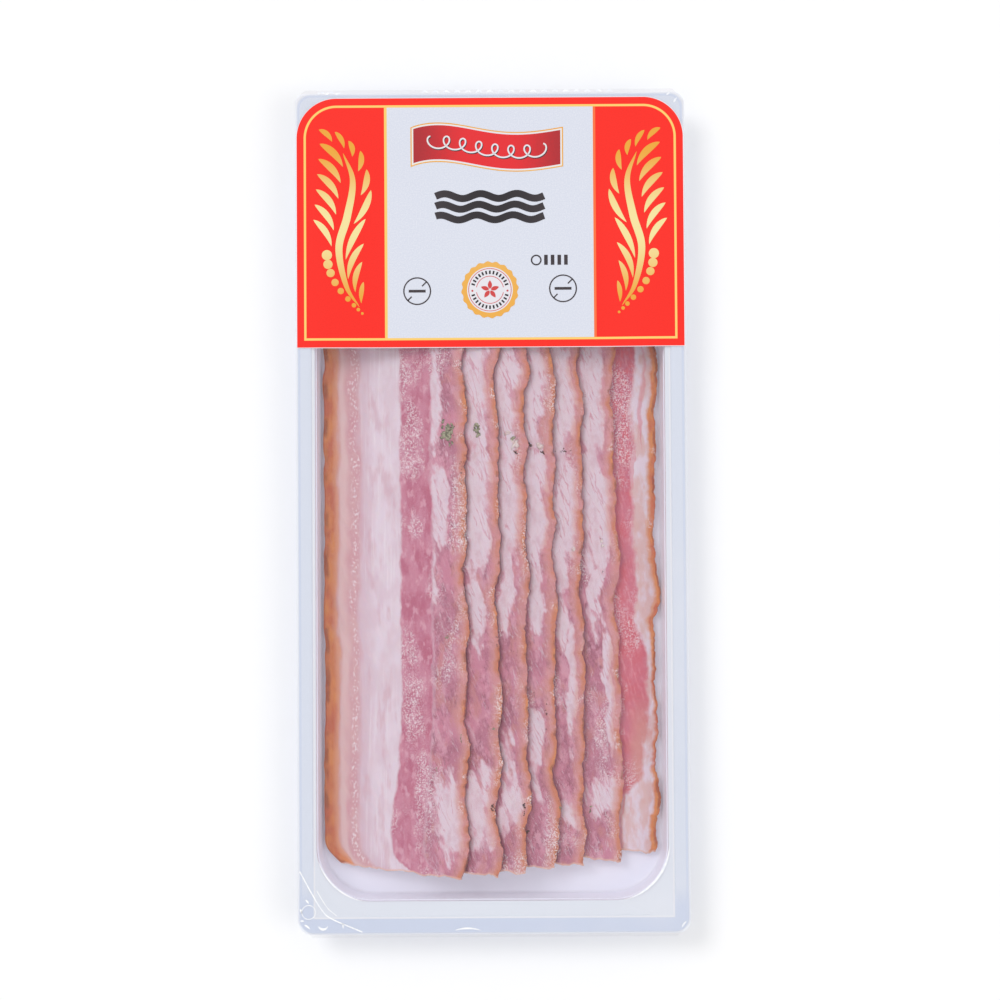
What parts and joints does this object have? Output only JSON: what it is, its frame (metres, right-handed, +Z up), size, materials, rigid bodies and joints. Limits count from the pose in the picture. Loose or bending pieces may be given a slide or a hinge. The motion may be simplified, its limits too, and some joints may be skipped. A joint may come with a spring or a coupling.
{
  "type": "bacon pack",
  "caption": "Sealed tray pack of shingled bacon rashers: white thermoformed tray, clear lid film and a printed label across one end.",
  "frame": {"origin": "centre of the tray's underside, which is the plane the pack rests on", "axes": "+Z up out of the tray, +Y along the pack towards the label end, +X across it towards the lowest rasher's rind"},
  "size_m": [0.12, 0.26, 0.0154],
  "materials": {
    "tray_white": "semi-gloss white plastic",
    "clear_film": "clear gloss film",
    "label_print": "satin printed paper",
    "bacon": "moist cured meat"
  },
  "bodies": {
    "root": {"tray": "tray_white", "lid_film": "clear_film", "label": "label_print", "rasher_1": "bacon", "rasher_2": "bacon", "rasher_3": "bacon", "rasher_4": "bacon", "rasher_5": "bacon", "rasher_6": "bacon", "rasher_7": "bacon"}
  },
  "joints": []
}
